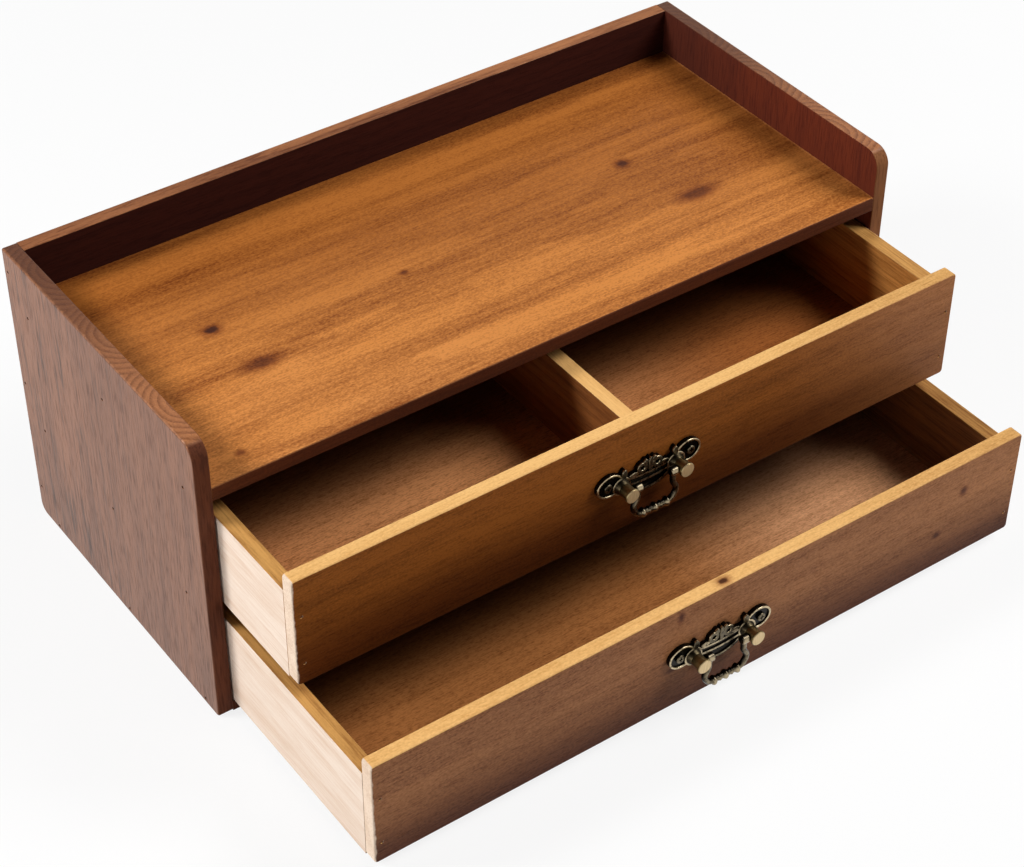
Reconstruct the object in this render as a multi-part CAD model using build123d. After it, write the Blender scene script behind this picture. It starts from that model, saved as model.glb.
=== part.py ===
from build123d import *
import os

# All sizes are in millimetres. X runs to the right, Y to the back and Z up.
# The origin is on the table, under the middle of the carcass.

# Carcass, outside sizes
carcass_width = 400.0
carcass_depth = 180.0
carcass_height = 165.0

# Carcass boards
side_thickness = 8.0
back_thickness = 8.0
top_thickness = 8.0
bottom_thickness = 6.0
shelf_thickness = 6.0
gallery_height = 25.5
bottom_rear_setback = 4.0
panel_front_top_radius = 9.0
panel_front_bottom_radius = 2.0
panel_rear_top_radius = 1.0
panel_rear_bottom_radius = 6.0
outer_edge_radius = 1.0
inner_edge_radius = 0.5

# Drawers: running gaps, boards and how far each stands open
drawer_side_clearance = 1.0
drawer_slide_clearance = 0.3
drawer_rear_clearance = 1.0
drawer_stop_clearance = 0.5
front_reveal = 0.65
front_thickness = 7.5
front_corner_radius = 2.0
front_edge_radius = 0.8
box_side_thickness = 8.0
box_back_thickness = 8.0
box_top_clearance = 3.8
box_edge_radius = 0.5
ply_thickness = 3.0
ply_groove_height = 5.0
ply_groove_depth = 3.5
ply_groove_clearance = 0.15
divider_thickness = 8.0
upper_pull_out = 63.0
lower_pull_out = 121.0

# Brads, driven just below the surface
brad_length = 20.0
brad_shank_radius = 0.55
brad_head_radius = 0.8
brad_head_thickness = 0.6
brad_sink = 0.4
brad_hole_clearance = 0.03
brad_end_distance = 12.0
carcass_brads_per_row = 3
drawer_brads_per_row = 2

# Drawer pull: cast backplate
pull_drop = 1.7
plate_thickness = 1.6
plate_edge_radius = 0.4
lobe_x = 22.8
lobe_y = 3.0
lobe_half_width = 7.6
lobe_half_height = 6.4
lobe_rim_width = 1.2
lobe_rim_height = 0.9
pad_radius = 5.2
pad_height = 0.9
band_end_top = 4.4
band_mid_top = 3.0
band_end_bottom = 3.6
band_mid_bottom = 9.6
rib_width = 1.1
rib_height = 0.7
rib_inset = 1.2
rib_pitch = 3.6
bud_x = 14.8
bud_gap = 0.2
bud_half_width = 1.6
bud_length = 5.2
bud_height = 1.4
crest_sink = 0.8
leaf_half_width = 1.3
leaf_length = 8.4
leaf_height = 1.7
scroll_x = 4.3
scroll_lift = 3.5
scroll_radius = 3.1
scroll_eye_radius = 1.2
scroll_height = 1.2
curl_x = 2.5
curl_lift = 6.6
curl_radius = 1.4
curl_height = 1.5
tendril_x = 8.6
tendril_half_length = 3.0
tendril_half_width = 1.2
tendril_height = 0.7

# Drawer pull: posts that carry the bail
post_x = 16.0
post_projection = 11.0
post_base_radius = 4.2
post_neck_radius = 3.3
post_flare_length = 2.2
post_cap_radius = 3.9
post_cap_thickness = 1.7
post_cap_edge = 0.35
post_spigot_radius = 1.75
post_spigot_clearance = 0.03

# Drawer pull: screws
screw_x = 24.2
screw_head_radius = 2.3
screw_head_height = 1.5
screw_head_edge = 0.6
screw_shank_radius = 1.1
screw_depth_in_wood = 5.6
screw_hole_clearance = 0.2
screw_thread_clearance = 0.03
screw_slot_width = 0.7
screw_slot_length = 3.0
screw_slot_depth = 0.7

# Drawer pull: bail
pin_standoff = 7.0
pin_radius = 1.0
pin_depth_in_post = 2.2
pin_running_clearance = 0.05
pin_end_clearance = 0.4
bail_wire_radius = 1.55
bail_hub_radius = 2.4
bail_hub_length = 4.0
bail_hub_edge = 0.7
bail_hub_gap = 0.3
bail_straight = 6.6
bail_belly_drop = 11.6
bail_belly_x = 13.2
bail_corner_x = 9.8
bail_drop = 17.0
bail_bend_radius = 4.5
bead_radius = 2.5
neck_radius = 1.4
neck_x = 2.5
collar_radius = 1.9
collar_x = 3.5
waist_x = 4.5
swell_radius = 2.3
swell_x = 6.3
bar_end_radius = 1.3
bar_end_x = 8.4

# Places that follow from the sizes
front_y = -carcass_depth / 2
rear_y = carcass_depth / 2
inner_half_width = carcass_width / 2 - side_thickness
back_inner_y = rear_y - back_thickness
top_board_bottom = carcass_height - gallery_height - top_thickness
bay_height = (top_board_bottom - bottom_thickness) / 2
shelf_top = bottom_thickness + bay_height
shelf_front_y = front_y + front_thickness + drawer_stop_clearance
front_height = bay_height - drawer_slide_clearance - front_reveal
box_side_height = front_height - shelf_thickness - box_top_clearance
box_half_width = inner_half_width - drawer_side_clearance
box_depth = carcass_depth - back_thickness - drawer_rear_clearance
box_back_front_y = box_depth - box_back_thickness
ply_top = ply_groove_height + ply_thickness
pad_top = plate_thickness + pad_height


def board(x_range, y_range, z_range):
    """A plain board between two values on each axis."""
    size = [high - low for low, high in (x_range, y_range, z_range)]
    centre = [(high + low) / 2 for low, high in (x_range, y_range, z_range)]
    return Pos(*centre) * Box(*size)


def eased(solid, axis, at_end, radius, along):
    """Round the edges that run along one axis at one end of another axis."""
    edges = solid.edges().filter_by(along).group_by(axis)[at_end]
    return fillet(edges, radius)


def spread(low, high, count):
    """Evenly spaced places, a brad's end distance in from each end."""
    first = low + brad_end_distance
    step = (high - low - 2 * brad_end_distance) / (count - 1)
    return [first + index * step for index in range(count)]


# Brads
def brad():
    """One brad along +Z, its head at the origin."""
    shank = extrude(Circle(brad_shank_radius), brad_length)
    head = extrude(Circle(brad_head_radius), brad_head_thickness)
    return shank + head


def brad_hole():
    """The hole that a sunk brad leaves, open to the surface behind its head."""
    shank = extrude(Circle(brad_shank_radius + brad_hole_clearance), brad_length + brad_hole_clearance)
    pocket_depth = brad_sink + brad_head_thickness + brad_hole_clearance
    pocket = extrude(Circle(brad_head_radius + brad_hole_clearance), pocket_depth)
    return shank + Pos(0, 0, -brad_sink) * pocket


def driven(point, direction):
    """Where a brad goes that is driven at a surface point in a direction."""
    return Plane(origin=point, z_dir=direction).location * Pos(0, 0, brad_sink)


brad_holes = brad_hole()
brad_solid = brad()


def holes_at(places):
    return [place * brad_holes for place in places]


def brads_at(places):
    return Compound(children=[place * brad_solid for place in places])


def side_brad_places(sign):
    """Brads through one side panel into the four boards between the panels."""
    outer_x = sign * carcass_width / 2
    inward = (-sign, 0, 0)
    points = []
    for y in spread(front_y, back_inner_y, carcass_brads_per_row):
        points.append((outer_x, y, top_board_bottom + top_thickness / 2))
    for y in spread(shelf_front_y, back_inner_y, carcass_brads_per_row):
        points.append((outer_x, y, shelf_top - shelf_thickness / 2))
    for y in spread(front_y, back_inner_y, carcass_brads_per_row):
        points.append((outer_x, y, bottom_thickness / 2))
    for z in spread(bottom_thickness, carcass_height, carcass_brads_per_row):
        points.append((outer_x, rear_y - back_thickness / 2, z))
    return [driven(point, inward) for point in points]


# Carcass
def side_panel(sign):
    """A side panel with its front top and rear bottom corners rounded."""
    corners = [(front_y, 0), (rear_y, 0), (rear_y, carcass_height), (front_y, carcass_height)]
    bottom_radii = [panel_front_bottom_radius, panel_rear_bottom_radius]
    top_radii = [panel_rear_top_radius, panel_front_top_radius]
    outline = FilletPolyline(*corners, radius=bottom_radii + top_radii, close=True)
    panel = extrude(Plane.YZ * make_face(outline), sign * side_thickness)
    panel = Pos(sign * inner_half_width, 0, 0) * panel
    outer = panel.faces().sort_by(Axis.X)[-1 if sign > 0 else 0]
    panel = fillet(outer.edges(), outer_edge_radius)
    inner = panel.faces().sort_by(Axis.X)[0 if sign > 0 else -1]
    return fillet(inner.edges(), inner_edge_radius)


def between_sides(y_range, z_range):
    return board((-inner_half_width, inner_half_width), y_range, z_range)


def back_panel():
    panel = between_sides((back_inner_y, rear_y), (bottom_thickness, carcass_height))
    return eased(panel, Axis.Z, -1, inner_edge_radius, Axis.X)


def top_board():
    upper = top_board_bottom + top_thickness
    plate = between_sides((front_y, back_inner_y), (top_board_bottom, upper))
    return eased(plate, Axis.Y, 0, outer_edge_radius, Axis.X)


def middle_shelf():
    plate = between_sides((shelf_front_y, back_inner_y), (shelf_top - shelf_thickness, shelf_top))
    return eased(plate, Axis.Y, 0, inner_edge_radius, Axis.X)


def bottom_board():
    plate = between_sides((front_y, rear_y - bottom_rear_setback), (0, bottom_thickness))
    return eased(plate, Axis.Y, 0, inner_edge_radius, Axis.X)


def carcass():
    """The nailed case: panels, boards and brads by name."""
    left_places = side_brad_places(-1)
    right_places = side_brad_places(1)
    left_holes = holes_at(left_places)
    right_holes = holes_at(right_places)
    pieces = {
        "left_side_panel": side_panel(-1) - left_holes,
        "right_side_panel": side_panel(1) - right_holes,
    }
    boards = {
        "back_panel": back_panel(),
        "top_board": top_board(),
        "middle_shelf": middle_shelf(),
        "bottom_board": bottom_board(),
    }
    for name, plain in boards.items():
        pieces[name] = plain - (left_holes + right_holes)
    pieces["carcass_brads"] = brads_at(left_places + right_places)
    return pieces


# Drawer boxes, each in its own frame: front face at y = 0, underside at z = 0
def drawer_brad_places():
    """Brads through the front into the sides, and through the sides into the back."""
    heights = spread(0, box_side_height, drawer_brads_per_row)
    places = []
    for sign in (-1, 1):
        front_x = sign * (box_half_width - box_side_thickness / 2)
        back_y = box_depth - box_back_thickness / 2
        for z in heights:
            places.append(driven((front_x, 0, z), (0, 1, 0)))
            places.append(driven((sign * box_half_width, back_y, z), (-sign, 0, 0)))
    return places


def ply_groove():
    """The room that the plywood bottom takes in the four boards around it."""
    reach = box_half_width - box_side_thickness + ply_groove_depth
    y_range = (front_thickness - ply_groove_depth, box_back_front_y + ply_groove_depth)
    return board((-reach, reach), y_range, (ply_groove_height, ply_top))


def drawer_front(pull_z):
    outline = RectangleRounded(2 * box_half_width, front_height, front_corner_radius)
    face = extrude(Plane.XZ * outline, -front_thickness)
    face = Pos(0, 0, front_height / 2) * face
    shown = face.faces().sort_by(Axis.Y)[0]
    face = fillet(shown.edges(), front_edge_radius)
    hidden = face.faces().sort_by(Axis.Y)[-1]
    face = fillet(hidden.edges(), box_edge_radius)
    return face - [on_front(pull_z) * hole for hole in screw_pilots()]


def drawer_side(sign):
    inner = box_half_width - box_side_thickness
    x_range = sorted((sign * inner, sign * box_half_width))
    plank = board(x_range, (front_thickness, box_depth), (0, box_side_height))
    return eased(plank, Axis.Z, -1, box_edge_radius, Axis.Y)


def drawer_back():
    inner = box_half_width - box_side_thickness
    plank = board((-inner, inner), (box_back_front_y, box_depth), (0, box_side_height))
    return eased(plank, Axis.Z, -1, box_edge_radius, Axis.X)


def drawer_bottom():
    reach = box_half_width - box_side_thickness + ply_groove_depth - ply_groove_clearance
    front_end = front_thickness - ply_groove_depth + ply_groove_clearance
    rear_end = box_back_front_y + ply_groove_depth - ply_groove_clearance
    return board((-reach, reach), (front_end, rear_end), (ply_groove_height, ply_top))


def drawer_divider():
    half = divider_thickness / 2
    plank = board((-half, half), (front_thickness, box_back_front_y), (ply_top, box_side_height))
    return eased(plank, Axis.Z, -1, box_edge_radius, Axis.Y)


def drawer(divided):
    """One drawer with its pull, by the names of its pieces."""
    places = drawer_brad_places()
    cuts = holes_at(places) + [ply_groove()]
    pull_z = front_height / 2 - pull_drop
    pieces = {
        "front": drawer_front(pull_z) - cuts,
        "left_side": drawer_side(-1) - cuts,
        "right_side": drawer_side(1) - cuts,
        "back": drawer_back() - cuts,
        "bottom": drawer_bottom(),
        "brads": brads_at(places),
    }
    if divided:
        pieces["divider"] = drawer_divider()
    for name, piece in pull().items():
        pieces["pull_" + name] = on_front(pull_z) * piece
    return pieces


# Drawer pull, drawn lying down: X along the plate, Y up the drawer front, Z out of it
def on_front(pull_z):
    """Stand a pull up against the drawer front at a height."""
    return Pos(0, 0, pull_z) * Rot(90, 0, 0)


def both_ends(shape):
    """A shape and its mirror image at the other end of the plate."""
    return [shape, mirror(shape, Plane.YZ)]


def joined(pieces):
    """One solid from pieces that overlap."""
    whole = pieces[0]
    for piece in pieces[1:]:
        whole += piece
    return whole


def cast_boss(outline, height):
    """A raised part of the casting with a softened upper edge."""
    boss = extrude(outline, height)
    return fillet(boss.faces().sort_by(Axis.Z)[-1].edges(), plate_edge_radius)


def arc_strip(end_x, end_y, mid_y, end_depth, mid_depth):
    """A strip between two arcs that sag or rise alike from end to end."""
    upper = ThreePointArc((-end_x, end_y), (0, mid_y), (end_x, end_y))
    right = Line((end_x, end_y), (end_x, end_y - end_depth))
    lower = ThreePointArc((end_x, end_y - end_depth), (0, mid_y - mid_depth), (-end_x, end_y - end_depth))
    left = Line((-end_x, end_y - end_depth), (-end_x, end_y))
    return make_face([upper, right, lower, left])


def plate_band():
    """The band that joins the two ends, with two ribs near its upper edge and one along its lower edge."""
    end_depth = band_end_top + band_end_bottom
    mid_depth = band_mid_top + band_mid_bottom
    band = extrude(arc_strip(post_x, band_end_top, band_mid_top, end_depth, mid_depth), plate_thickness)
    rib_end = post_x - pad_radius / 2
    upper_rib = arc_strip(rib_end, band_end_top - rib_inset, band_mid_top - rib_inset, rib_width, rib_width)
    mid_end = band_end_top - rib_inset - rib_pitch
    mid_rib = arc_strip(rib_end, mid_end, band_mid_top - rib_inset - rib_pitch, rib_width, rib_width)
    lower_end = rib_inset + rib_width - band_end_bottom
    lower_mid = rib_inset + rib_width - band_mid_bottom
    lower_rib = arc_strip(rib_end, lower_end, lower_mid, rib_width, rib_width)
    ribs = [extrude(rib, plate_thickness + rib_height) for rib in (upper_rib, mid_rib, lower_rib)]
    return [band] + ribs


def plate_crest():
    """The leaf and the scrolls above the middle of the band."""
    foot = band_mid_top - crest_sink
    leaf = Pos(0, foot + leaf_length / 2) * Ellipse(leaf_half_width, leaf_length / 2)
    scroll = Pos(scroll_x, foot + scroll_lift) * Circle(scroll_radius)
    scroll_eye = Pos(scroll_x, foot + scroll_lift) * Circle(scroll_eye_radius)
    curl = Pos(curl_x, foot + curl_lift) * Circle(curl_radius)
    tendril = Pos(tendril_x, foot + tendril_half_width) * Ellipse(tendril_half_length, tendril_half_width)
    pieces = [cast_boss(leaf, plate_thickness + leaf_height), extrude(leaf, plate_thickness)]
    pieces += both_ends(extrude(scroll, plate_thickness))
    pieces += both_ends(cast_boss(scroll - scroll_eye, plate_thickness + scroll_height))
    pieces += both_ends(cast_boss(curl, plate_thickness + curl_height))
    pieces += both_ends(cast_boss(tendril, plate_thickness + tendril_height))
    return pieces


def plate_end():
    """One end of the plate: rimmed lobe, post pad and bud."""
    lobe = Pos(lobe_x, lobe_y) * Ellipse(lobe_half_width, lobe_half_height)
    dish = Ellipse(lobe_half_width - lobe_rim_width, lobe_half_height - lobe_rim_width)
    dish = Pos(lobe_x, lobe_y) * dish
    pad = Pos(post_x, 0) * Circle(pad_radius)
    bud_y = post_base_radius + bud_gap + bud_length / 2
    bud = Pos(bud_x, bud_y) * Ellipse(bud_half_width, bud_length / 2)
    return [
        extrude(lobe, plate_thickness),
        cast_boss(lobe - dish, plate_thickness + lobe_rim_height),
        cast_boss(pad, pad_top),
        cast_boss(bud, plate_thickness + bud_height),
    ]


def pull_plate():
    bosses = plate_band() + plate_crest()
    for piece in plate_end():
        bosses += both_ends(piece)
    casting = joined(bosses)
    seat = extrude(Circle(screw_head_radius + screw_hole_clearance), pad_top)
    seat = Pos(screw_x, lobe_y, plate_thickness) * seat
    screw_way = Pos(screw_x, lobe_y) * extrude(Circle(screw_shank_radius + screw_hole_clearance), pad_top)
    post_way = Pos(post_x, 0) * extrude(Circle(post_spigot_radius + post_spigot_clearance), pad_top)
    cuts = both_ends(seat) + both_ends(screw_way) + both_ends(post_way)
    return casting - cuts


def pull_post(sign):
    """A turned post, riveted through the plate and bored for the bail's pin."""
    flare_top = pad_top + post_flare_length
    cap_bottom = post_projection - post_cap_thickness
    profile = Polyline(
        (0, 0),
        (post_spigot_radius, 0),
        (post_spigot_radius, pad_top),
        (post_base_radius, pad_top),
        (post_neck_radius, flare_top),
        (post_neck_radius, cap_bottom),
        (post_cap_radius, cap_bottom + post_cap_edge),
        (post_cap_radius, post_projection - post_cap_edge),
        (post_cap_radius - post_cap_edge, post_projection),
        (0, post_projection),
        close=True,
    )
    post = revolve(Plane.XZ * make_face(profile), Axis.Z)
    bore_depth = pin_depth_in_post + pin_end_clearance
    bore = extrude(Circle(pin_radius + pin_running_clearance), post_neck_radius + bore_depth)
    entry = Plane(origin=(-2 * post_neck_radius, 0, pin_standoff), z_dir=(1, 0, 0)).location
    post = Pos(post_x, 0, 0) * (post - entry * bore)
    return post if sign > 0 else mirror(post, Plane.YZ)


def screw_head():
    """A domed head with a cross recess, seated at z = 0."""
    head = extrude(Circle(screw_head_radius), screw_head_height)
    head = fillet(head.edges().group_by(Axis.Z)[-1], screw_head_edge)
    bar = extrude(Rectangle(screw_slot_length, screw_slot_width), screw_slot_depth)
    across = Pos(0, 0, screw_head_height - screw_slot_depth) * bar
    return head - [across, across.rotate(Axis.Z, 90)]


def pull_screws():
    shank_length = plate_thickness + screw_depth_in_wood
    shank = extrude(Circle(screw_shank_radius), -shank_length)
    screw = Pos(screw_x, lobe_y, plate_thickness) * (screw_head() + shank)
    return Compound(children=both_ends(screw))


def screw_pilots():
    """Holes in the drawer front for the screws' threads."""
    depth = screw_depth_in_wood + screw_thread_clearance
    pilot = extrude(Circle(screw_shank_radius + screw_thread_clearance), -depth)
    return both_ends(Pos(screw_x, lobe_y) * pilot)


def along_x(shape):
    """Turn a shape so that its own Z axis points along X."""
    return Plane(origin=(0, 0, 0), z_dir=(1, 0, 0)).location * shape


def bail_hub(hub_x):
    """The thick end of the bail's wire, with the pin that turns in a post."""
    hub = fillet(extrude(Circle(bail_hub_radius), bail_hub_length / 2, both=True).edges(), bail_hub_edge)
    pin = extrude(Circle(pin_radius), post_x - post_neck_radius + pin_depth_in_post - hub_x)
    return Pos(hub_x, 0) * along_x(hub + pin)


def turned_bar():
    """The bail's lower bar between its bends, with a bead, collars and swellings."""
    half = [(neck_x, neck_radius), (collar_x, collar_radius), (waist_x, neck_radius)]
    half += [(swell_x, swell_radius), (bar_end_x, bar_end_radius)]
    mirrored = [(-x, radius) for x, radius in reversed(half)]
    outline = Spline(*mirrored, (0, bead_radius), *half)
    closing = Polyline(outline @ 1, (bar_end_x, 0), (-bar_end_x, 0), outline @ 0)
    return revolve(make_face(outline.edges() + closing.edges()), Axis.X)


def pull_bail():
    """A bent wire with a turned lower bar, hung on two pins that point outward."""
    hub_x = post_x - post_neck_radius - bail_hub_gap - bail_hub_length / 2
    upper_arm = [(hub_x, 0), (hub_x, -bail_straight)]
    right_half = upper_arm + [(bail_belly_x, -bail_belly_drop), (bail_corner_x, -bail_drop)]
    route = right_half + [(-x, y) for x, y in reversed(right_half)]
    path = FilletPolyline(*route, radius=bail_bend_radius)
    wire = sweep(Plane(origin=path @ 0, z_dir=path % 0) * Circle(bail_wire_radius), path=path)
    bail = joined([wire] + both_ends(bail_hub(hub_x)) + [Pos(0, -bail_drop) * turned_bar()])
    return Pos(0, 0, pin_standoff) * bail


def pull():
    return {
        "plate": pull_plate(),
        "left_post": pull_post(-1),
        "right_post": pull_post(1),
        "screws": pull_screws(),
        "bail": pull_bail(),
    }


def assembly():
    """Every piece by its name, in its place with the drawers part-open."""
    pieces = carcass()
    drawers = (
        ("upper_drawer_", shelf_top, upper_pull_out, True),
        ("lower_drawer_", bottom_thickness, lower_pull_out, False),
    )
    for prefix, floor_z, pull_out, divided in drawers:
        place = Pos(0, front_y - pull_out, floor_z + drawer_slide_clearance)
        for name, piece in drawer(divided).items():
            pieces[prefix + name] = place * piece
    return pieces


os.makedirs("parts", exist_ok=True)
for node, shape in assembly().items():
    export_step(shape, "parts/" + node + ".step")
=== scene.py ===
import bpy
import math
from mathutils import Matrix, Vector

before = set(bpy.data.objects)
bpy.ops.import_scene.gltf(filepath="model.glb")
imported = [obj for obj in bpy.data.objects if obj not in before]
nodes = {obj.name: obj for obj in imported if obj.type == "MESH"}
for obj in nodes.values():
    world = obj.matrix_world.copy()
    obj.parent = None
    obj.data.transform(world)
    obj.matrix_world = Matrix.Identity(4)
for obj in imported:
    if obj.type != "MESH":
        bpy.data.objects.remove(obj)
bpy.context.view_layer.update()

# Camera at the photograph's viewing angle: metres, degrees and millimetres
CAMERA_PLACE = (-0.55103, -0.81408, 0.84434)
CAMERA_TURN = (49.857, -0.254, -35.439)
LENS_LENGTH = 86.126
SENSOR_WIDTH = 36.0

# Softboxes: name, place, aim, size, power
LAMPS = [
    ("right_softbox", (1.05, -0.63, 1.30), (0.0, -0.10, 0.08), (0.85, 0.85), 23.5),
    ("left_softbox", (-0.98, 0.40, 1.03), (0.0, -0.10, 0.08), (0.40, 0.40), 13.5),
    ("low_left_softbox", (-1.25, -0.1, 0.16), (-0.2, -0.1, 0.08), (1.2, 0.3), 4.5),
]

# Surroundings, in metres. The ceiling begins and ends at these heights of a unit view direction.
WHITE = (1.0, 1.0, 1.0)
WORLD_LIGHT = 0.03
CEILING_RISE = (0.3, 0.75)
FLOOR_HALF = 4.0
FLOOR_HEIGHT = -0.0002
FLOOR_BOUNCE = (0.7, 0.7, 0.7)
PAPER = (0.95, 0.95, 0.95)
PAPER_SHARE = 0.16
PAPER_REACH = (1.1, 0.35)

# The materials measure in millimetres of the part's frame
MM = 1000.0
UPPER_FACE = -153.0
LOWER_FACE = -211.0
FRONT_LEFT_END = -191.0
SIDE_OUTSIDE = 190.0
BOARD_END = 192.0
PANEL_FACE = 200.0

# How far a surface has to turn towards a direction to count as facing it
TURNED = (0.4, 0.7)
BOARD_TURNED = (0.35, 0.6)
CAP_TURNED = (0.6, 0.9)
BRAD_TURNED = (0.5, 0.8)

# Textures drawn out along the grain: cycles to the millimetre along and across it, detail, roughness, seed
RING_BEND = ((0.0045, 0.03), 2.0, 0.5, 0.0)
RING_RIPPLE = ((0.02, 0.16), 2.0, 0.6, 3.0)
STREAKS = ((0.0035, 0.055), 4.0, 0.6, 1.0)
FIBRES = ((0.05, 1.1), 2.0, 0.6, 2.0)
SPECKS = ((0.7, 1.3), 1.0, 0.5, 7.0)
FLECK_FORM = (2.0, 0.5, 5.0)

# Textures in fixed directions: cycles to the millimetre along X, Y and Z, detail, roughness, seed
KNOT_OUTLINE = ((0.35, 0.35, 0.35), 2.0, 0.6, 9.0)
EDGE_WEAR = ((0.12, 0.12, 0.12), 3.0, 0.65, 11.0)
BARE_END_OUTLINE = ((0.15, 0.15, 0.15), 2.0, 0.6, 13.0)
TOP_CLOUDS = ((0.006, 0.02, 0.02), 2.0, 0.5, 61.0)
PANEL_BANDS = ((0.02, 0.15, 0.011), 4.0, 0.6, 23.0)
PANEL_WAVES = ((0.02, 0.04, 0.02), 3.0, 0.6, 24.0)
PANEL_LINES = ((0.05, 0.34, 0.02), 3.0, 0.65, 26.0)
BRASS_CLOUD = ((0.45, 0.45, 0.45), 3.0, 0.6, 2.0)
BRASS_SKIN = ((1.6, 1.6, 1.6), 2.0, 0.5, 4.0)
POST_CLOUD = ((0.6, 0.6, 0.6), 3.0, 0.6, 6.0)
CAP_LINES = ((3.0, 0.2, 0.25), 2.0, 0.5, 1.0)
BRAD_CLOUD = ((1.2, 1.2, 1.2), 2.0, 0.5, 1.0)

# Growth rings: where the pith lies across the board and in its depth, and how a ring darkens and ends
PITH = (40.0, -90.0)
RIPPLE_SHARE = 0.5
RING_DARKENS = (0.25, 0.9)
RING_ENDS = (1.0, 0.93)
END_SPACING = 3.6
END_WANDER = 30.0
END_SEED = 17.0
GLUED_STRIP = 58.0
GLUED_PITH = 182.0
GLUED_WANDER = 5.0

# Wood tones, edges and skin
STREAK_RISE = (0.34, 0.68)
FLECK_RISE = (0.46, 0.66)
END_RING_SHARE = 0.45
END_SPECK_SHARE = 0.9
END_SPECK_MIDDLE = 0.25
EDGE_RADIUS = 0.0009
WEAR_RISE = (0.42, 0.7)
WEAR_SHARE = 0.25
WORN_EDGE = (0.62, 0.36, 0.16)
RAW_ROUGHNESS = 0.8
FIBRE_ROUGHNESS = 0.16
FLECK_ROUGHNESS = 0.08
FLECK_DEPTH = 0.6
SPECK_DEPTH = 0.25
WOOD_BUMP = (0.22, 0.00025)
KNOT_RAGGED = 0.8
KNOT_HALO_RISE = (2.1, 0.5)
KNOT_HEART_RISE = (1.05, 0.35)
KNOT_HALO = (0.50, 0.38, 0.36)
KNOT_HEART = (0.045, 0.011, 0.006)

# Finishes: light tone, dark tone, 1 if varnished or 0 if raw
HONEY = ((0.68, 0.255, 0.058), (0.23, 0.058, 0.009), 1)
HONEY_DARK = ((0.30, 0.080, 0.008), (0.13, 0.028, 0.004), 1)
HONEY_PALE = ((0.78, 0.33, 0.105), (0.34, 0.105, 0.022), 1)
MAHOGANY = ((0.265, 0.105, 0.048), (0.115, 0.038, 0.014), 1)
MAHOGANY_DARK = ((0.140, 0.044, 0.015), (0.060, 0.018, 0.006), 1)
MAHOGANY_BLACK = ((0.045, 0.014, 0.005), (0.025, 0.008, 0.003), 1)
BACK_RED = ((0.045, 0.008, 0.004), (0.026, 0.004, 0.002), 0)
SIDE_RED = ((0.150, 0.022, 0.004), (0.085, 0.010, 0.002), 0)
PANEL_EDGE = ((0.120, 0.028, 0.006), (0.055, 0.012, 0.003), 0)
LIT_EDGE = ((0.26, 0.095, 0.028), (0.14, 0.046, 0.012), 0)
EDGE_BROWN = ((0.46, 0.185, 0.075), (0.155, 0.050, 0.020), 1)
EDGE_DARK = ((0.22, 0.085, 0.038), (0.11, 0.038, 0.016), 1)
FRONT_BROWN = ((0.45, 0.190, 0.076), (0.185, 0.065, 0.024), 1)
FRONT_GOLD = ((0.33, 0.100, 0.013), (0.13, 0.034, 0.003), 1)
FRONT_PALE = ((0.56, 0.245, 0.098), (0.32, 0.122, 0.044), 1)
# Painted shade for the lower part of the drawer fronts
FRONT_SHADE_RED = ((0.080, 0.015, 0.003), (0.040, 0.007, 0.002), 1)
TAN = ((0.93, 0.55, 0.205), (0.70, 0.36, 0.110), 1)
SIDE_TAN = ((0.64, 0.33, 0.095), (0.29, 0.115, 0.026), 1)
INSIDE_GOLD = ((0.66, 0.29, 0.070), (0.30, 0.10, 0.020), 1)
INSIDE_BROWN = ((0.30, 0.11, 0.030), (0.12, 0.036, 0.010), 1)
FLOOR_BROWN = ((0.52, 0.200, 0.058), (0.20, 0.058, 0.011), 1)
FLOOR_WARM = ((0.74, 0.320, 0.122), (0.30, 0.105, 0.030), 1)
FLOOR_RED = ((0.40, 0.110, 0.014), (0.17, 0.040, 0.005), 1)
FLOOR_PALE = ((0.92, 0.48, 0.25), (0.50, 0.22, 0.090), 1)
RAW = ((0.90, 0.75, 0.63), (0.78, 0.58, 0.44), 0)
RAW_END = ((0.91, 0.73, 0.58), (0.72, 0.52, 0.37), 0)
SHADE_BROWN = ((0.070, 0.022, 0.008), (0.035, 0.010, 0.004), 1)

# Knots: middle, half size, how dark the heart is, and the axes that these are measured on
TOP_KNOTS = [
    ((-135.8, 7.6), (4.4, 3.4), 0.95, "xy"),
    ((-128.8, -27.0), (8.6, 3.8), 0.45, "xy"),
    ((107.1, 7.8), (3.8, 3.2), 0.75, "xy"),
    ((122.0, -35.0), (10.0, 4.6), 0.45, "xy"),
    ((-36.6, -6.4), (2.2, 1.5), 0.3, "xy"),
    ((-169.5, -76.6), (2.2, 1.7), 0.15, "xy"),
]
LOWER_FRONT_KNOTS = [
    ((-23.0, -211.0, 62.5), (1.6, 2.0, 2.8), 0.5, "xyz"),
    ((-26.0, -211.0, 31.0), (3.0, 2.0, 1.4), 0.35, "xyz"),
    ((154.5, -211.0, 49.3), (2.1, 2.0, 2.3), 0.55, "xyz"),
    ((139.6, -211.0, 27.5), (2.2, 2.0, 1.6), 0.5, "xyz"),
    ((4.0, -207.4, 68.1), (3.2, 2.2, 2.2), 0.9, "xyz"),
]

# Stain of the top board: where it sets in and is full, and its share
TOP_CLOUD_REACH = 110.0
TOP_SLANT = 0.12
TOP_DARK_REAR = (-60.0, 55.0)
TOP_DARK_SHARE = 0.62
TOP_PALE_FRONT = (-30.0, -95.0)
TOP_PALE_LEFT = (40.0, -150.0)
TOP_PALE_SHARE = 0.5
JOINT_LINE = (BOARD_END - 1.2, BOARD_END - 0.6)
JOINT_SHARE = 0.6

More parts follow.
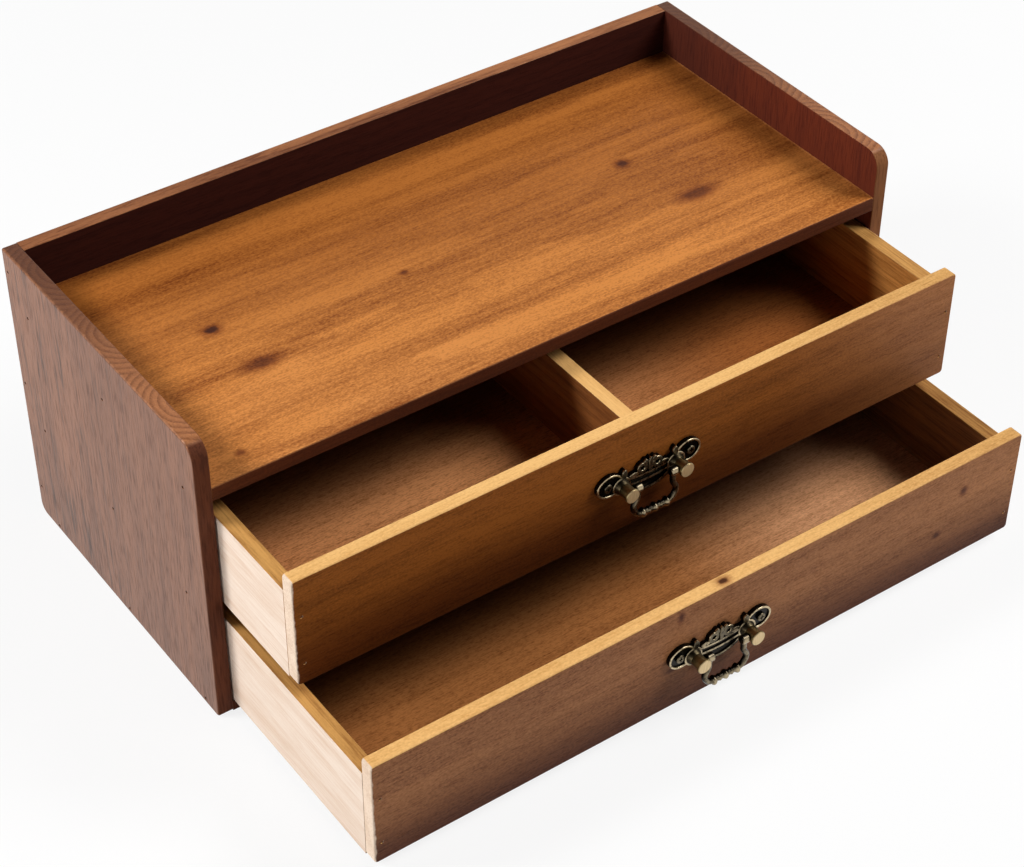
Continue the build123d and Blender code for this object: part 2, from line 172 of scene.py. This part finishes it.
# Stain of the side panels
PANEL_OUTSIDE = (PANEL_FACE - 1.4, PANEL_FACE - 0.6)
PANEL_WAVE_REACH = 60.0
BAND_RISE = (0.48, 0.68)
BAND_SHARE = 0.4
PANEL_FOOT = (110.0, 40.0)
FOOT_SHARE = 0.2
LINE_RISE = (0.5, 0.66)
LINE_REAR = (-30.0, 90.0)
LINE_REAR_SHARE = 0.7
LINE_SHARE = 0.15
TOP_EDGE_REAR = (-30.0, 50.0)
TOP_EDGE_SHARE = 0.75
INNER_REAR = (-20.0, 70.0)
INNER_SHARE = 0.55

# Painted shade far inside the drawers, then the drawers' stain. The first two are distances behind the
# front's face
INSIDE_SHADE_START = 58.0
INSIDE_SHADE_END = 118.0
INSIDE_SHADE_SHARE = 0.8
FRONT_PALE_RIGHT = (60.0, 185.0)
TOP_DIM_RIGHT = (30.0, 200.0)
TOP_DIM_SHARE = 0.5
BARE_END_REACH = 3.0
BARE_END = (FRONT_LEFT_END + 1.0, FRONT_LEFT_END + 0.2)
FLOOR_RIGHT = (10.0, 120.0)
FLOOR_SHARE = 0.8

# Metal: tones, and heights in front of the drawer's face
PATINA = (0.012, 0.010, 0.008)
# Rubbed brass on rims, edges and ridges, as wear and as painted highlight
RUBBED_BRASS_AND_HIGHLIGHT = (0.66, 0.53, 0.33)
POST_ROOT = (0.016, 0.012, 0.008)
POST_OLIVE = (0.30, 0.23, 0.11)
POST_TARNISH = (0.07, 0.055, 0.03)
CAP_DARK = (0.44, 0.32, 0.16)
CAP_BRIGHT = (0.82, 0.63, 0.37)
BRAD_DIRT = (0.02, 0.014, 0.012)
CARCASS_BRAD = (0.03, 0.02, 0.015)
FRONT_BRAD = (0.22, 0.072, 0.018)
SIDE_BRAD = (0.60, 0.46, 0.36)
RIM_HEIGHT = (2.75, 2.6)
POST_SHANK = (2.5, 9.5)
POST_CAP = (10.6, 10.95)

# Metal: how it is rubbed bright, as wear and as painted highlight, and tarnished, and its skin. Bumps are
# strength and depth in metres.
RUB_RAGGED = 0.5
RUB_CLOUD_RISE = (0.2, 0.55)
HOLLOW_REACH = 0.002
OPEN_RISE = (0.3, 0.85)
BRASS_EDGE_RADIUS = 0.0005
BRASS_ROUGHNESS = 0.2
CLOUD_ROUGHNESS = 0.16
BRASS_BUMP = (0.15, 0.0001)
TARNISH_RISE = (0.4, 0.7)
TARNISH_SHARE = 0.6
POST_ROUGHNESS = 0.26
CAP_ROUGHNESS = 0.12
CAP_BUMP = (0.08, 0.0001)
DIRT_SHARE = 0.5
BRAD_LEVEL = 0.2
BRAD_ROUGHNESS = 0.5
DIRT_ROUGHNESS = 0.3

# Edge and recess finders: rays to a point, and how far a normal turns at an edge, as a cosine
EDGE_RAYS = 4
HOLLOW_RAYS = 8
EDGE_TURN = (0.995, 0.85)


# A small kit for writing node trees
class Kit:
    """A node tree, with short calls for the nodes that it needs."""

    def __init__(self, tree):
        self.tree = tree
        tree.nodes.clear()

    def new(self, kind):
        return self.tree.nodes.new("ShaderNode" + kind)

    def put(self, socket, value):
        """Link a socket, or set it where the value is a plain number, vector or colour."""
        if isinstance(value, bpy.types.NodeSocket):
            self.tree.links.new(value, socket)
        elif isinstance(value, tuple) and len(socket.default_value) == 4:
            socket.default_value = (*value, 1.0)
        else:
            socket.default_value = value

    def parts(self, vector):
        """The x, y and z of a vector."""
        split = self.new("SeparateXYZ")
        self.put(split.inputs[0], vector)
        return dict(zip("xyz", split.outputs))

    def vector(self, operation, first, second=None):
        node = self.new("VectorMath")
        node.operation = operation
        self.put(node.inputs[0], first)
        if second is not None:
            self.put(node.inputs[1], second)
        return node.outputs["Value" if operation in ("LENGTH", "DOT_PRODUCT") else "Vector"]

    def math(self, operation, *values, clamp=False):
        node = self.new("Math")
        node.operation = operation
        node.use_clamp = clamp
        for socket, value in zip(node.inputs, values):
            self.put(socket, value)
        return node.outputs[0]

    def add(self, first, second):
        return self.math("ADD", first, second)

    def sub(self, first, second):
        return self.math("SUBTRACT", first, second)

    def mul(self, first, second):
        return self.math("MULTIPLY", first, second)

    def step(self, value, low, high, top=1.0):
        """A smooth rise from 0 at low to top at high, which may be the smaller of the two."""
        node = self.new("MapRange")
        node.interpolation_type = "SMOOTHSTEP"
        self.put(node.inputs["Value"], value)
        flip = low > high
        self.put(node.inputs["From Min"], high if flip else low)
        self.put(node.inputs["From Max"], low if flip else high)
        self.put(node.inputs["To Min"], top if flip else 0.0)
        self.put(node.inputs["To Max"], 0.0 if flip else top)
        return node.outputs["Result"]

    def mix_shaders(self, factor, first, second):
        node = self.new("MixShader")
        for socket, value in zip(node.inputs, (factor, first, second)):
            self.put(socket, value)
        return node.outputs[0]

    def seen_directly(self):
        """1 where a surface is looked at, straight or in a reflection, and 0 where it only lights others."""
        rays = self.new("LightPath").outputs
        seen = self.math("MAXIMUM", rays["Is Camera Ray"], rays["Is Glossy Ray"])
        return self.math("MAXIMUM", seen, rays["Is Transmission Ray"])


class Paint(Kit):
    """A material, with places in millimetres and normals in the part's own frame."""

    def __init__(self, name):
        self.material = bpy.data.materials.new(name)
        self.material.use_nodes = True
        super().__init__(self.material.node_tree)
        coords = self.new("TexCoord")
        self.mm = self.vector("MULTIPLY", coords.outputs["Object"], (MM, MM, MM))
        self.places = self.parts(self.mm)
        self.normals = self.parts(coords.outputs["Normal"])
        self.x, self.y, self.z = self.places.values()
        self.shader = self.new("BsdfPrincipled")
        out = self.new("OutputMaterial")
        self.put(out.inputs["Surface"], self.shader.outputs[0])

    def surface(self, name, value):
        self.put(self.shader.inputs[name], value)

    def noise(self, recipe, shift=0.0):
        """A texture in fixed directions. The shift is added to the seed of its recipe."""
        per_mm, detail, roughness, seed = recipe
        node = self.new("TexNoise")
        node.noise_dimensions = "4D"
        self.put(node.inputs["Vector"], self.vector("MULTIPLY", self.mm, per_mm))
        self.put(node.inputs["W"], seed + shift)
        self.put(node.inputs["Scale"], 1.0)
        self.put(node.inputs["Detail"], detail)
        self.put(node.inputs["Roughness"], roughness)
        return node.outputs["Fac"]

    def grained(self, grain, recipe, shift):
        """A texture drawn out along the grain."""
        (along, across), *form = recipe
        per_mm = tuple(along if axis == grain else across for axis in "xyz")
        return self.noise((per_mm, *form), shift)

    def around_zero(self, noise, reach, middle=0.5):
        return self.mul(self.sub(noise, middle), reach)

    def facing(self, axis, sign, turned=TURNED):
        """1 where the surface faces along an axis, or against it with the sign -1, and 0 elsewhere."""
        return self.step(self.mul(self.normals[axis], float(sign)), *turned)

    def mix(self, factor, first, second, blend="MIX"):
        node = self.new("Mix")
        node.data_type = "RGBA"
        node.blend_type = blend
        self.put(node.inputs[0], factor)
        self.put(node.inputs[6], first)
        self.put(node.inputs[7], second)
        return node.outputs[2]

    def mix_number(self, factor, first, second):
        node = self.new("Mix")
        node.data_type = "FLOAT"
        self.put(node.inputs[0], factor)
        self.put(node.inputs[2], first)
        self.put(node.inputs[3], second)
        return node.outputs[0]

    def bump(self, height, strength, distance):
        node = self.new("Bump")
        self.put(node.inputs["Strength"], strength)
        self.put(node.inputs["Distance"], distance)
        self.put(node.inputs["Height"], height)
        self.surface("Normal", node.outputs[0])

    def edges(self, radius):
        """1 on sharp edges and 0 on flats."""
        bevel = self.new("Bevel")
        bevel.samples = EDGE_RAYS
        self.put(bevel.inputs["Radius"], radius)
        flat = self.new("NewGeometry").outputs["Normal"]
        return self.step(self.vector("DOT_PRODUCT", bevel.outputs[0], flat), *EDGE_TURN)

    def hollows(self, distance):
        """0 deep in a recess and 1 in the open."""
        node = self.new("AmbientOcclusion")
        node.samples = HOLLOW_RAYS
        self.put(node.inputs["Distance"], distance)
        return node.outputs["AO"]


# Camera, light, floor and surroundings
def make_camera():
    data = bpy.data.cameras.new("photo_camera")
    data.sensor_width = SENSOR_WIDTH
    data.lens = LENS_LENGTH
    camera = bpy.data.objects.new("photo_camera", data)
    camera.location = CAMERA_PLACE
    camera.rotation_euler = [math.radians(angle) for angle in CAMERA_TURN]
    bpy.context.scene.collection.objects.link(camera)
    bpy.context.scene.camera = camera


def make_lights():
    for name, place, target, size, power in LAMPS:
        data = bpy.data.lights.new(name, "AREA")
        data.shape = "RECTANGLE"
        data.size, data.size_y = size
        data.energy = power
        lamp = bpy.data.objects.new(name, data)
        lamp.location = place
        aim = Vector(target) - Vector(place)
        lamp.rotation_euler = aim.to_track_quat("-Z", "Y").to_euler()
        bpy.context.scene.collection.objects.link(lamp)


def make_world():
    """White where the background is seen, with a dim ceiling in reflections, and little light of its own."""
    world = bpy.data.worlds.new("studio")
    world.use_nodes = True
    kit = Kit(world.node_tree)
    shades = []
    for strength in (WORLD_LIGHT, 1.0):
        shade = kit.new("Background")
        kit.put(shade.inputs["Color"], WHITE)
        kit.put(shade.inputs["Strength"], strength)
        shades.append(shade.outputs[0])
    height = kit.parts(kit.new("TexCoord").outputs["Generated"])["z"]
    ceiling = kit.step(height, *CEILING_RISE)
    hidden = kit.mul(ceiling, kit.new("LightPath").outputs["Is Glossy Ray"])
    shown = kit.sub(kit.seen_directly(), hidden)
    out = kit.new("OutputWorld")
    kit.put(out.inputs["Surface"], kit.mix_shaders(shown, *shades))
    bpy.context.scene.world = world


def make_floor():
    """A floor that looks white, with a faint shadow round the part, and reflects light to it as grey does."""
    mesh = bpy.data.meshes.new("floor")
    signs = ((-1, -1), (1, -1), (1, 1), (-1, 1))
    corners = [(x * FLOOR_HALF, y * FLOOR_HALF, FLOOR_HEIGHT) for x, y in signs]
    mesh.from_pydata(corners, [], [(0, 1, 2, 3)])
    floor = bpy.data.objects.new("floor", mesh)
    bpy.context.scene.collection.objects.link(floor)
    material = bpy.data.materials.new("floor_white")
    material.use_nodes = True
    kit = Kit(material.node_tree)
    bounce = kit.new("BsdfDiffuse")
    kit.put(bounce.inputs["Color"], FLOOR_BOUNCE)
    paper = kit.new("BsdfDiffuse")
    kit.put(paper.inputs["Color"], PAPER)
    glow = kit.new("Emission")
    kit.put(glow.inputs["Strength"], 1.0)
    far = kit.vector("LENGTH", kit.new("TexCoord").outputs["Object"])
    near = kit.step(far, *PAPER_REACH, top=PAPER_SHARE)
    shown = kit.mix_shaders(near, glow.outputs[0], paper.outputs[0])
    out = kit.new("OutputMaterial")
    kit.put(out.inputs["Surface"], kit.mix_shaders(kit.seen_directly(), bounce.outputs[0], shown))
    mesh.materials.append(material)


# Wood
def ring_figure(p, grain, pith, spacing, wander, shift, strip=None):
    """Growth rings round a pith that runs along the grain, bent by slow noise. A board glued up from strips
    has a pith in each of them."""
    across, depth = {"x": (p.y, p.z), "y": (p.x, p.z), "z": (p.y, p.x)}[grain]
    if strip is not None:
        across = p.math("WRAP", across, strip / 2, -strip / 2)
    square = p.math("POWER", p.sub(across, pith[0]), 2.0)
    square = p.add(square, p.math("POWER", p.sub(depth, pith[1]), 2.0))
    radius = p.math("SQRT", square)
    radius = p.add(radius, p.around_zero(p.grained(grain, RING_BEND, shift), wander))
    radius = p.add(radius, p.around_zero(p.grained(grain, RING_RIPPLE, shift), spacing * RIPPLE_SHARE))
    turn = p.math("FRACT", p.math("DIVIDE", radius, spacing))
    return p.mul(p.step(turn, *RING_DARKENS), p.step(turn, *RING_ENDS))


def knot_distance(p, middle, size, axes):
    """How far a point is from a knot's middle, in knot sizes, with a ragged outline."""
    total = 0.0
    for axis, centre, half in zip(axes, middle, size):
        total = p.add(total, p.math("POWER", p.math("DIVIDE", p.sub(p.places[axis], centre), half), 2.0))
    return p.add(p.math("SQRT", total), p.around_zero(p.noise(KNOT_OUTLINE), KNOT_RAGGED))


def knot_stain(p, colour, knots):
    """Reddish brown spots with a dark heart."""
    for middle, size, heart, axes in knots:
        far = knot_distance(p, middle, size, axes)
        colour = p.mix(p.step(far, *KNOT_HALO_RISE), colour, KNOT_HALO, "MULTIPLY")
        colour = p.mix(p.mul(p.step(far, *KNOT_HEART_RISE), heart), colour, KNOT_HEART)
    return colour


def wood(name, grain, faces, default, shift, spacing=7.0, wander=22.0, ring=0.3, streak=0.5, fibre=0.5,
         fleck=0.3, speck=0.4, dash=(0.11, 0.9), knots=(), rough=0.42, level=0.2, glued_pith=None,
         extra=None):
    """A stained board. faces gives (axis, sign, finish) for the sides that differ from the default finish.
    shift sets its figure apart from other boards'. ring, streak, fibre, fleck and speck are the shares of
    its textures, and dash the cycles of its flecks along and across the grain. rough and level are the
    varnish's roughness and shine. glued_pith is given where the ends show glued strips. extra changes the
    stain further, and for the drawers also paints shade into it."""
    p = Paint(name)
    late = ring_figure(p, grain, PITH, spacing, wander, shift)
    streaks = p.step(p.grained(grain, STREAKS, shift), *STREAK_RISE)
    fibres = p.grained(grain, FIBRES, shift)
    flecks = p.step(p.grained(grain, (dash, *FLECK_FORM), shift), *FLECK_RISE)
    specks = p.grained(grain, SPECKS, shift)
    tone = p.mul(streaks, streak)
    tone = p.add(tone, p.mul(late, ring))
    tone = p.add(tone, p.around_zero(fibres, fibre))
    tone = p.add(tone, p.mul(flecks, fleck))
    tone = p.math("ADD", tone, p.around_zero(specks, speck), clamp=True)

    if glued_pith is None:
        arcs = ring_figure(p, grain, PITH, END_SPACING, END_WANDER, shift + END_SEED)
    else:
        arcs = ring_figure(p, grain, glued_pith, END_SPACING, GLUED_WANDER, shift + END_SEED, GLUED_STRIP)
    end_specks = p.around_zero(specks, END_SPECK_SHARE, END_SPECK_MIDDLE)
    end_tone = p.math("ADD", p.mul(arcs, END_RING_SHARE), end_specks, clamp=True)

    def coat(finish, end=False):
        light, dark, _ = finish
        return p.mix(end_tone if end else tone, light, dark)

    colour = coat(default)
    varnished = float(default[2])
    for axis, sign, finish in faces:
        mask = p.facing(axis, sign, BOARD_TURNED)
        colour = p.mix(mask, colour, coat(finish, axis == grain))
        varnished = p.mix_number(mask, varnished, float(finish[2]))
    rubbed = p.step(p.noise(EDGE_WEAR, shift), *WEAR_RISE)
    worn = p.mul(p.mul(p.edges(EDGE_RADIUS), rubbed), WEAR_SHARE)
    colour = p.mix(worn, colour, WORN_EDGE)
    if extra is not None:
        colour, varnished = extra(p, colour, varnished, coat)
    p.surface("Base Color", knot_stain(p, colour, knots))
    dull = p.add(p.around_zero(fibres, FIBRE_ROUGHNESS), p.mul(flecks, FLECK_ROUGHNESS))
    p.surface("Roughness", p.add(p.mix_number(varnished, RAW_ROUGHNESS, rough), dull))
    p.surface("Specular IOR Level", level)
    height = p.sub(p.sub(fibres, p.mul(flecks, FLECK_DEPTH)), p.mul(specks, SPECK_DEPTH))
    p.bump(height, *WOOD_BUMP)
    return p.material


def dress(material, *names):
    for name in names:
        mesh = nodes[name].data
        mesh.materials.clear()
        mesh.materials.append(material)


# Carcass
def top_stain(p, colour, varnished, coat):
    """Darker to the rear and paler at the front left, with a pale line along the joint at the right end."""
    clouds = p.around_zero(p.noise(TOP_CLOUDS), TOP_CLOUD_REACH)
    slanted = p.add(p.y, p.mul(p.x, TOP_SLANT))
    rear = p.step(p.add(slanted, clouds), *TOP_DARK_REAR)
    colour = p.mix(p.mul(rear, TOP_DARK_SHARE), colour, coat(HONEY_DARK))
    pale = p.mul(p.step(p.add(p.y, clouds), *TOP_PALE_FRONT), p.step(p.x, *TOP_PALE_LEFT))
    joint = p.step(p.x, *JOINT_LINE)
    pale = p.math("MAXIMUM", p.mul(pale, TOP_PALE_SHARE), p.mul(joint, JOINT_SHARE))
    return p.mix(p.mul(pale, p.facing("z", 1)), colour, coat(HONEY_PALE)), varnished


def panel_stain(p, colour, varnished, coat):
    """Darker bands, a darker foot and thin dark lines on the outer face, and darker to the rear along the
    top edge and on the inner face."""
    outer = p.step(p.math("ABSOLUTE", p.x), *PANEL_OUTSIDE)
    waves = p.mul(p.noise(PANEL_WAVES), PANEL_WAVE_REACH)
    behind = p.add(p.y, waves)
    bands = p.step(p.noise(PANEL_BANDS), *BAND_RISE)
    foot = p.step(p.add(p.z, waves), *PANEL_FOOT)
    deep = p.add(p.mul(bands, BAND_SHARE), p.mul(foot, FOOT_SHARE))
    colour = p.mix(p.mul(deep, outer), colour, coat(MAHOGANY_DARK))
    lines = p.step(p.noise(PANEL_LINES), *LINE_RISE)
    lines = p.mul(lines, p.add(p.mul(p.step(behind, *LINE_REAR), LINE_REAR_SHARE), LINE_SHARE))
    colour = p.mix(p.mul(lines, outer), colour, coat(MAHOGANY_BLACK))
    edge = p.mul(p.step(behind, *TOP_EDGE_REAR), p.facing("z", 1))
    colour = p.mix(p.mul(edge, TOP_EDGE_SHARE), colour, coat(EDGE_DARK, True))
    inner = p.mul(p.sub(1.0, outer), p.step(p.y, *INNER_REAR))
    return p.mix(p.mul(inner, INNER_SHARE), colour, coat(BACK_RED)), varnished


def make_carcass_looks():
    panel_faces = [("z", 1, EDGE_BROWN), ("y", 1, MAHOGANY)]
    panel = dict(fleck=0.5, ring=0.12, streak=0.45, fibre=1.0, dash=(0.08, 0.9), rough=0.36, level=0.3,
                 extra=panel_stain)
    left_faces = panel_faces + [("x", 1, SIDE_RED), ("y", -1, PANEL_EDGE)]
    left = wood("left_panel_wood", "z", left_faces, MAHOGANY, shift=20.0,
                glued_pith=(0.0, -GLUED_PITH), **panel)
    right_faces = panel_faces + [("x", -1, SIDE_RED), ("y", -1, LIT_EDGE)]
    right = wood("right_panel_wood", "z", right_faces, MAHOGANY, shift=27.0,
                 glued_pith=(0.0, GLUED_PITH), **panel)
    back = wood("back_panel_wood", "x", [("y", -1, BACK_RED), ("z", 1, EDGE_BROWN)], MAHOGANY, shift=33.0,
                rough=0.36, level=0.12)
    top = wood("top_board_wood", "x", [("y", -1, PANEL_EDGE), ("z", -1, SHADE_BROWN)], HONEY, shift=41.0,
               knots=TOP_KNOTS, spacing=15.0, wander=46.0, ring=0.2, streak=0.6, fleck=0.12, speck=1.4,
               fibre=0.9, dash=(0.03, 0.5), rough=0.4, extra=top_stain)
    shelf = wood("shelf_wood", "x", [("y", -1, PANEL_EDGE)], SHADE_BROWN, shift=52.0)
    bottom = wood("bottom_wood", "x", [("y", -1, PANEL_EDGE), ("z", -1, RAW)], SHADE_BROWN, shift=58.0)
    dress(left, "left_side_panel")
    dress(right, "right_side_panel")
    dress(back, "back_panel")
    dress(top, "top_board")
    dress(shelf, "middle_shelf")
    dress(bottom, "bottom_board")


# Drawers
def make_drawer_looks(prefix, face_y, shift, knots, face, pale_share, shade_heights, shade_width, shade_share,
                      inside, near_floor, far_floor):
    """The front's face pales by pale_share towards its right end. Painted shade darkens it to red by
    shade_share, between the heights in shade_heights, top first, and the places along it in shade_width,
    right first. The floor turns from the finish near_floor to far_floor towards its right end. Painted shade
    darkens the floor and the inner faces of the sides towards the back."""
    # Painted shade: the inside turns darker towards the back of the drawer
    def paint_inside_shade(p, colour, coat):
        deep = p.step(p.y, face_y + INSIDE_SHADE_START, face_y + INSIDE_SHADE_END)
        return p.mix(p.mul(deep, INSIDE_SHADE_SHARE), colour, coat(SHADE_BROWN))

    def front_stain_and_shade(p, colour, varnished, coat):
        forward = p.facing("y", -1)
        pale = p.mul(p.step(p.x, *FRONT_PALE_RIGHT), forward)
        colour = p.mix(p.mul(pale, pale_share), colour, coat(FRONT_PALE))
        dim = p.mul(p.step(p.x, *TOP_DIM_RIGHT), p.facing("z", 1))
        colour = p.mix(p.mul(dim, TOP_DIM_SHARE), colour, coat(SIDE_TAN))
        # Painted shade: the front's face darkens to red towards its bottom
        deep = p.mul(p.mul(p.step(p.z, *shade_heights), forward), p.step(p.x, *shade_width))
        colour = p.mix(p.mul(deep, shade_share), colour, coat(FRONT_SHADE_RED))
        ragged = p.around_zero(p.noise(BARE_END_OUTLINE, shift), BARE_END_REACH)
        bare = p.step(p.add(p.x, ragged), *BARE_END)
        return p.mix(bare, colour, coat(RAW_END)), p.mix_number(bare, varnished, 0.0)

    def floor_stain_and_shade(p, colour, varnished, coat):
        right = p.mul(p.step(p.x, *FLOOR_RIGHT), p.facing("z", 1))
        colour = p.mix(p.mul(right, FLOOR_SHARE), colour, coat(far_floor))
        # Painted shade far inside, laid over the floor's stain
        return paint_inside_shade(p, colour, coat), varnished

    def side_painted_shade(p, colour, varnished, coat):
        # Painted shade only: the inner faces of the sides darken towards the back
        sideways = p.step(p.math("ABSOLUTE", p.normals["x"]), *TURNED)
        within = p.step(p.math("ABSOLUTE", p.x), SIDE_OUTSIDE, SIDE_OUTSIDE - 1.0)
        return p.mix(p.mul(sideways, within), colour, paint_inside_shade(p, colour, coat)), varnished

    front_faces = [("z", 1, TAN), ("x", -1, RAW_END), ("x", 1, SIDE_TAN), ("z", -1, RAW), ("y", 1, inside)]
    front = wood(prefix + "front_wood", "x", front_faces, face, shift=shift, knots=knots, speck=1.5,
                 ring=0.15, spacing=11.0, rough=0.5, level=0.12, extra=front_stain_and_shade)
    side_faces = [("z", 1, SIDE_TAN), ("z", -1, RAW), ("y", 1, RAW)]
    side = dict(fibre=1.3, fleck=0.35, dash=(0.05, 0.8), extra=side_painted_shade)
    left_faces = side_faces + [("x", -1, RAW)]
    left = wood(prefix + "left_side_wood", "y", left_faces, inside, shift=shift + 4.0, **side)
    right_faces = side_faces + [("x", 1, RAW)]
    right = wood(prefix + "right_side_wood", "y", right_faces, inside, shift=shift + 6.0, **side)
    back_faces = [("y", 1, RAW), ("z", 1, SIDE_TAN), ("z", -1, RAW)]
    back = wood(prefix + "back_wood", "x", back_faces, SHADE_BROWN, shift=shift + 8.0)
    floor = wood(prefix + "bottom_wood", "x", [("z", -1, SHADE_BROWN)], near_floor, shift=shift + 10.0,
                 fleck=0.42, streak=0.3, ring=0.1, speck=1.1, fibre=1.0, dash=(0.26, 1.6), rough=0.5,
                 level=0.12, extra=floor_stain_and_shade)
    dress(front, prefix + "front")
    dress(left, prefix + "left_side")
    dress(right, prefix + "right_side")
    dress(back, prefix + "back")
    dress(floor, prefix + "bottom")


def make_divider_look():
    # Painted shade: the divider's left face is darker than its right face and top
    divider = wood("divider_wood", "y", [("z", 1, TAN), ("x", -1, INSIDE_BROWN)], INSIDE_GOLD, shift=110.0)
    dress(divider, "upper_drawer_divider")


# Metal
def brass(name, face_y, low, high, shine, flat, rim=0.0, middle=None):
    """Cast brass under a black patina, rubbed bright where it stands proud between two heights, as wear and
    painted highlight. The flats get the share flat of what the edges get, and low rims and ribs the share rim
    more. A piece that is handled all round has its middle height, and its back is rubbed as its front is."""
    p = Paint(name)
    proud = p.sub(face_y, p.y)
    if middle is not None:
        proud = p.add(p.math("ABSOLUTE", p.sub(proud, middle)), middle)
    cloud = p.noise(BRASS_CLOUD)
    rubbed = p.step(p.add(proud, p.around_zero(cloud, RUB_RAGGED)), low, high)
    open_air = p.step(p.hollows(HOLLOW_REACH), *OPEN_RISE)
    # Wear and painted highlight: bright where proud, in the open and on edges
    bright = p.mul(p.mul(rubbed, open_air), p.step(cloud, *RUB_CLOUD_RISE))
    share = p.add(flat, p.mul(p.step(proud, *RIM_HEIGHT), rim))
    bright = p.mul(bright, p.math("MAXIMUM", share, p.edges(BRASS_EDGE_RADIUS)))
    p.surface("Base Color", p.mix(p.mul(bright, shine), PATINA, RUBBED_BRASS_AND_HIGHLIGHT))
    p.surface("Metallic", 1.0)
    p.surface("Roughness", p.add(BRASS_ROUGHNESS, p.mul(cloud, CLOUD_ROUGHNESS)))
    p.bump(p.noise(BRASS_SKIN), *BRASS_BUMP)
    return p.material


def post_brass(name, face_y):
    """Turned brass, dark at the root, olive along the shank and rubbed bare on the flat cap."""
    p = Paint(name)
    proud = p.sub(face_y, p.y)
    cloud = p.noise(POST_CLOUD)
    shank = p.mix(p.step(proud, *POST_SHANK), POST_ROOT, POST_OLIVE)
    shank = p.mix(p.mul(p.step(cloud, *TARNISH_RISE), TARNISH_SHARE), shank, POST_TARNISH)
    cap = p.mul(p.step(proud, *POST_CAP), p.facing("y", -1, CAP_TURNED))
    lines = p.noise(CAP_LINES)
    p.surface("Base Color", p.mix(cap, shank, p.mix(lines, CAP_DARK, CAP_BRIGHT)))
    p.surface("Metallic", 1.0)
    rough = p.add(POST_ROUGHNESS, p.mul(cloud, CLOUD_ROUGHNESS))
    p.surface("Roughness", p.add(rough, p.mul(cap, CAP_ROUGHNESS)))
    p.bump(lines, *CAP_BUMP)
    return p.material


def brad_steel(name, stain_front, stain_side):
    """Sunk brad heads, filled and stained over as the board round them is."""
    p = Paint(name)
    cloud = p.noise(BRAD_CLOUD)
    colour = p.mix(p.facing("y", -1, BRAD_TURNED), stain_side, stain_front)
    p.surface("Base Color", p.mix(p.mul(cloud, DIRT_SHARE), colour, BRAD_DIRT))
    p.surface("Specular IOR Level", BRAD_LEVEL)
    p.surface("Roughness", p.add(BRAD_ROUGHNESS, p.mul(cloud, DIRT_ROUGHNESS)))
    return p.material


def make_metal_looks():
    for prefix, face_y in (("upper_drawer_", UPPER_FACE), ("lower_drawer_", LOWER_FACE)):
        plate = brass(prefix + "plate_brass", face_y, low=1.95, high=2.5, shine=0.95, flat=0.22, rim=0.7)
        dress(plate, prefix + "pull_plate")
        screws = brass(prefix + "screw_brass", face_y, low=2.3, high=3.6, shine=0.6, flat=0.6)
        dress(screws, prefix + "pull_screws")
        bail = brass(prefix + "bail_brass", face_y, low=7.6, high=9.4, shine=0.8, flat=0.8, middle=7.0)
        dress(bail, prefix + "pull_bail")
        posts = post_brass(prefix + "turned_brass", face_y)
        dress(posts, prefix + "pull_left_post", prefix + "pull_right_post")
    dress(brad_steel("carcass_brad_steel", CARCASS_BRAD, CARCASS_BRAD), "carcass_brads")
    filled = brad_steel("drawer_brad_steel", FRONT_BRAD, SIDE_BRAD)
    dress(filled, "upper_drawer_brads", "lower_drawer_brads")


make_camera()
make_lights()
make_world()
make_floor()
make_carcass_looks()
# Both fronts get painted shade towards their bottoms, and both drawers get painted shade far inside
make_drawer_looks("upper_drawer_", UPPER_FACE, shift=70.0, knots=(), face=FRONT_GOLD, pale_share=0.6,
                  shade_heights=(115.0, 76.0), shade_width=(260.0, 60.0), shade_share=0.78,
                  inside=INSIDE_GOLD, near_floor=FLOOR_WARM, far_floor=FLOOR_RED)
make_drawer_looks("lower_drawer_", LOWER_FACE, shift=90.0, knots=LOWER_FRONT_KNOTS, face=FRONT_BROWN,
                  pale_share=0.3, shade_heights=(47.0, 0.0), shade_width=(600.0, 200.0), shade_share=1.0,
                  inside=INSIDE_BROWN, near_floor=FLOOR_BROWN, far_floor=FLOOR_PALE)
make_divider_look()
make_metal_looks()

bpy.context.scene.view_settings.view_transform = "Standard"
